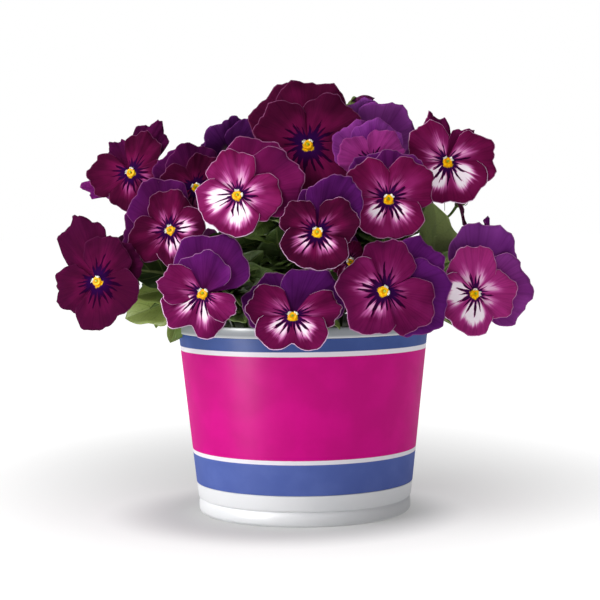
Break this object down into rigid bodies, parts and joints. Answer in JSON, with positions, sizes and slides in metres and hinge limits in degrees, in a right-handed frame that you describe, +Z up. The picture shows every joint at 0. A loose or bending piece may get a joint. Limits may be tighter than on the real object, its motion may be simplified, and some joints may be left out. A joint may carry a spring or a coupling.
{
  "type": "potted pansy planter",
  "caption": "Round tapered plastic flower pot with a banded printed sleeve, filled with soil and a mound of leafy stems that carry buds and wide five-petalled pansy blooms.",
  "frame": {"origin": "centre of the pot's flat underside, where it rests", "axes": "+Z up along the pot's axis, the front of the plant faces -Y, +X to the right seen from the front"},
  "size_m": [0.2901, 0.2498, 0.2736],
  "materials": {
    "pot": "satin white plastic",
    "label": "smooth printed film, magenta between white lines and blue bands",
    "soil": "crumbly dark peat",
    "greenery": "soft green leaf",
    "petals": "velvety petal",
    "bud": "soft folded petal"
  },
  "bodies": {
    "root": {"pot": "pot", "printed_label": "label", "soil": "soil", "leafy_stem_01": "greenery", "leafy_stem_02": "greenery", "leafy_stem_03": "greenery", "leafy_stem_04": "greenery", "leafy_stem_05": "greenery", "leafy_stem_06": "greenery", "leafy_stem_07": "greenery", "leafy_stem_08": "greenery", "leafy_stem_09": "greenery", "leafy_stem_10": "greenery", "leafy_stem_11": "greenery", "bloom_01": "petals", "bloom_02": "petals", "bloom_03": "petals", "bloom_04": "petals", "bloom_05": "petals", "bloom_06": "petals", "bloom_07": "petals", "bloom_08": "petals", "bloom_09": "petals", "bloom_10": "petals", "bloom_11": "petals", "bloom_12": "petals", "bloom_13": "petals", "bloom_14": "petals", "bloom_15": "petals", "bloom_16": "petals", "bloom_17": "petals", "bloom_18": "petals", "bloom_19": "petals", "bloom_20": "petals", "bloom_21": "petals", "bloom_22": "petals", "bloom_23": "petals", "bloom_24": "petals", "bloom_25": "petals", "bloom_26": "petals", "bloom_27": "petals", "bloom_28": "petals", "bloom_29": "petals", "bud_01": "bud", "bud_02": "bud", "bud_03": "bud", "bud_04": "bud"}
  },
  "joints": []
}
